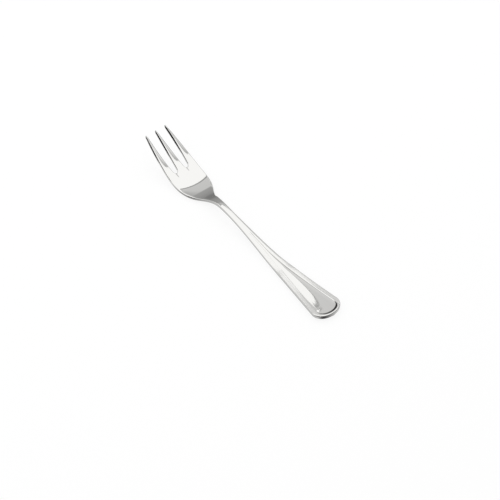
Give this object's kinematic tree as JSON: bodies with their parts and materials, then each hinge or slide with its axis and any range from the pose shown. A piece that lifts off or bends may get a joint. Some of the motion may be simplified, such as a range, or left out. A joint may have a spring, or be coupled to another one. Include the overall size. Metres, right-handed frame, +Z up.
{
  "type": "fish fork",
  "caption": "Table fork for fish in polished stainless steel: a broad dished head with short tapered tines, a slender arched stem and a flat handle with a raised thread border.",
  "frame": {"origin": "middle of the fork's bounding box, on the table that it lies on", "axes": "+X along the fork from the handle's end to the tips, +Y to the left side, +Z up off the table"},
  "size_m": [0.183, 0.0232, 0.0206],
  "materials": {
    "polished_steel": "mirror polished stainless steel"
  },
  "bodies": {
    "root": {"handle": "polished_steel", "stem": "polished_steel", "neck": "polished_steel", "palm": "polished_steel", "tine_left": "polished_steel", "tine_middle": "polished_steel", "tine_right": "polished_steel"}
  },
  "joints": []
}
